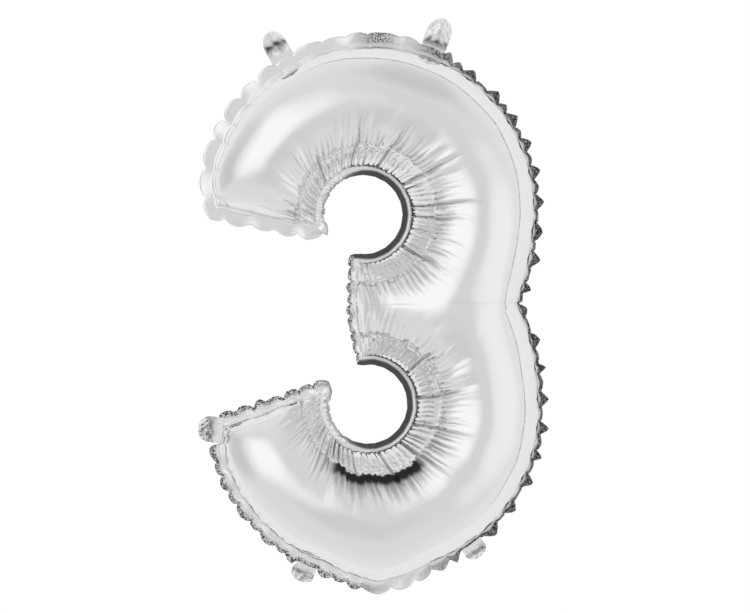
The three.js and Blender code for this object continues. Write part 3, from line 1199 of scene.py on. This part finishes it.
# Places where the flange is crumpled and given a painted dark reflection, and half their length, mm.
CRUMPLED = (
    (on_circle(UPPER["centre"], 100.0, 88), 9.0),
    (on_circle(UPPER["centre"], 100.0, 66), 13.0),
    (on_circle(LOWER["centre"], 99.0, -118), 8.0),
    (on_circle(LOWER["centre"], 99.0, -55), 12.0),
)
NECK_ROOT = np.array([-94.5, -75.0])
NECK_HEADING = 187.0
# The loose end of the neck rises a little, degrees.
NECK_LIFT = 14.0
NECK_SIZE = (15.5, 15.2)
NECK_SHAPE = {"arch": 1.6, "bend": 1.5, "crumple": 1.4, "grain": 0.8, "held": 0.14}
VALVE_ROOT = np.array([-82.0, -76.0])
VALVE_HEADING = -26.0
VALVE_SIZE = (14.0, 55.0)
# Depth of the sealing grain, m.
GRAIN_DEPTH = 0.0003
NECK_GRAIN_DEPTH = 0.0004
# Seeds of the random draws. The tabs count theirs up from 0.
FLANGE_SEED = 3
PANEL_SEEDS = {"front": 11, "rear": 12}
NECK_SEED = 9
VALVE_SEED = 10
# Distance to a pinch for points off the weld, mm: far.
NO_PINCH = 50.0


def lay_out_panels():
    upper, lower, count = number_vertices()
    flat = np.zeros((count, 2))
    flat[upper], upper_angles = lay_out(UPPER, NOTCH)
    flat[lower], lower_angles = lay_out(LOWER, NOTCH)
    return {"numbers": (upper, lower, count), "flat": flat, "upper": upper_angles, "lower": lower_angles}


def build_envelope():
    layout = lay_out_panels()
    upper, lower, count = layout["numbers"]
    loop, names = weld_loop(upper, lower)
    front = np.concatenate([quads_of(upper, False), quads_of(lower, True)])
    height = gathered_height(layout, swollen(layout["flat"], front, loop))
    roots = []
    for tab in TABS.values():
        bowl, angle, radius = tab["root"]
        roots.append((on_circle(bowl["centre"], radius, angle), tab["size"][0] / 2.0, angle))
    roots.append((NECK_ROOT, NECK_SIZE[0] / 2.0, NECK_HEADING))
    rng = np.random.default_rng(FLANGE_SEED)
    surface, pinch, shade, grain = flange(layout["flat"][loop], names, roots, CRUMPLED, rng)
    to_pinch = np.full(count, NO_PINCH)
    to_pinch[loop] = pinch
    edge = {"loop": loop, "surface": surface, "to_pinch": to_pinch, "shade": shade, "grain": grain}
    for name, facing in (("front", -1), ("rear", 1)):
        material = foil(name + "_foil", GRAIN_DEPTH)
        rng = np.random.default_rng(PANEL_SEEDS[name])
        panel = build_panel(name + "_foil_panel", facing, layout, height, edge, material, rng)
        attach(panel, "envelope")
        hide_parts(name + "_panel")


def build_tabs():
    material = foil("tab_foil", GRAIN_DEPTH)
    for seed, (name, tab) in enumerate(TABS.items()):
        bowl, angle, radius = tab["root"]
        tucked = on_circle(bowl["centre"], radius - TUCK, angle)
        width, length = tab["size"]
        size = (width, length + TUCK)
        piece = strip(
            name + "_film", tucked, angle, size, material, seed, offset=TAB_OFFSET, **tab["shape"]
        )
        hang_on(piece)
        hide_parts(name)


def build_neck():
    material = foil("neck_foil", NECK_GRAIN_DEPTH)
    heading = NECK_HEADING - NECK_LIFT
    tucked = NECK_ROOT - on_circle((0.0, 0.0), TUCK, heading)
    for side, offset in NECK_OFFSETS.items():
        name = f"neck_{side}_film"
        layer = strip(name, tucked, heading, NECK_SIZE, material, NECK_SEED, offset=offset, **NECK_SHAPE)
        hang_on(layer)
        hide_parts(f"neck_{side}_layer")


def build_valve():
    material = milky_film("valve_film")
    for side, offset in VALVE_OFFSETS.items():
        name = f"valve_{side}_strip"
        film = strip(
            name, VALVE_ROOT, VALVE_HEADING, VALVE_SIZE, material, VALVE_SEED, offset=offset, crumple=0.03
        )
        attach(film, "valve_" + side)
        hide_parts(f"valve_{side}_film")


build_envelope()
build_tabs()
build_neck()
build_valve()
add_surroundings()
add_floor()
add_light("key_light", (-0.9, -1.1, 1.0), 1.0, 2.0)
add_light("fill_light", (1.0, -0.9, 0.6), 1.2, 1.0)
add_camera()
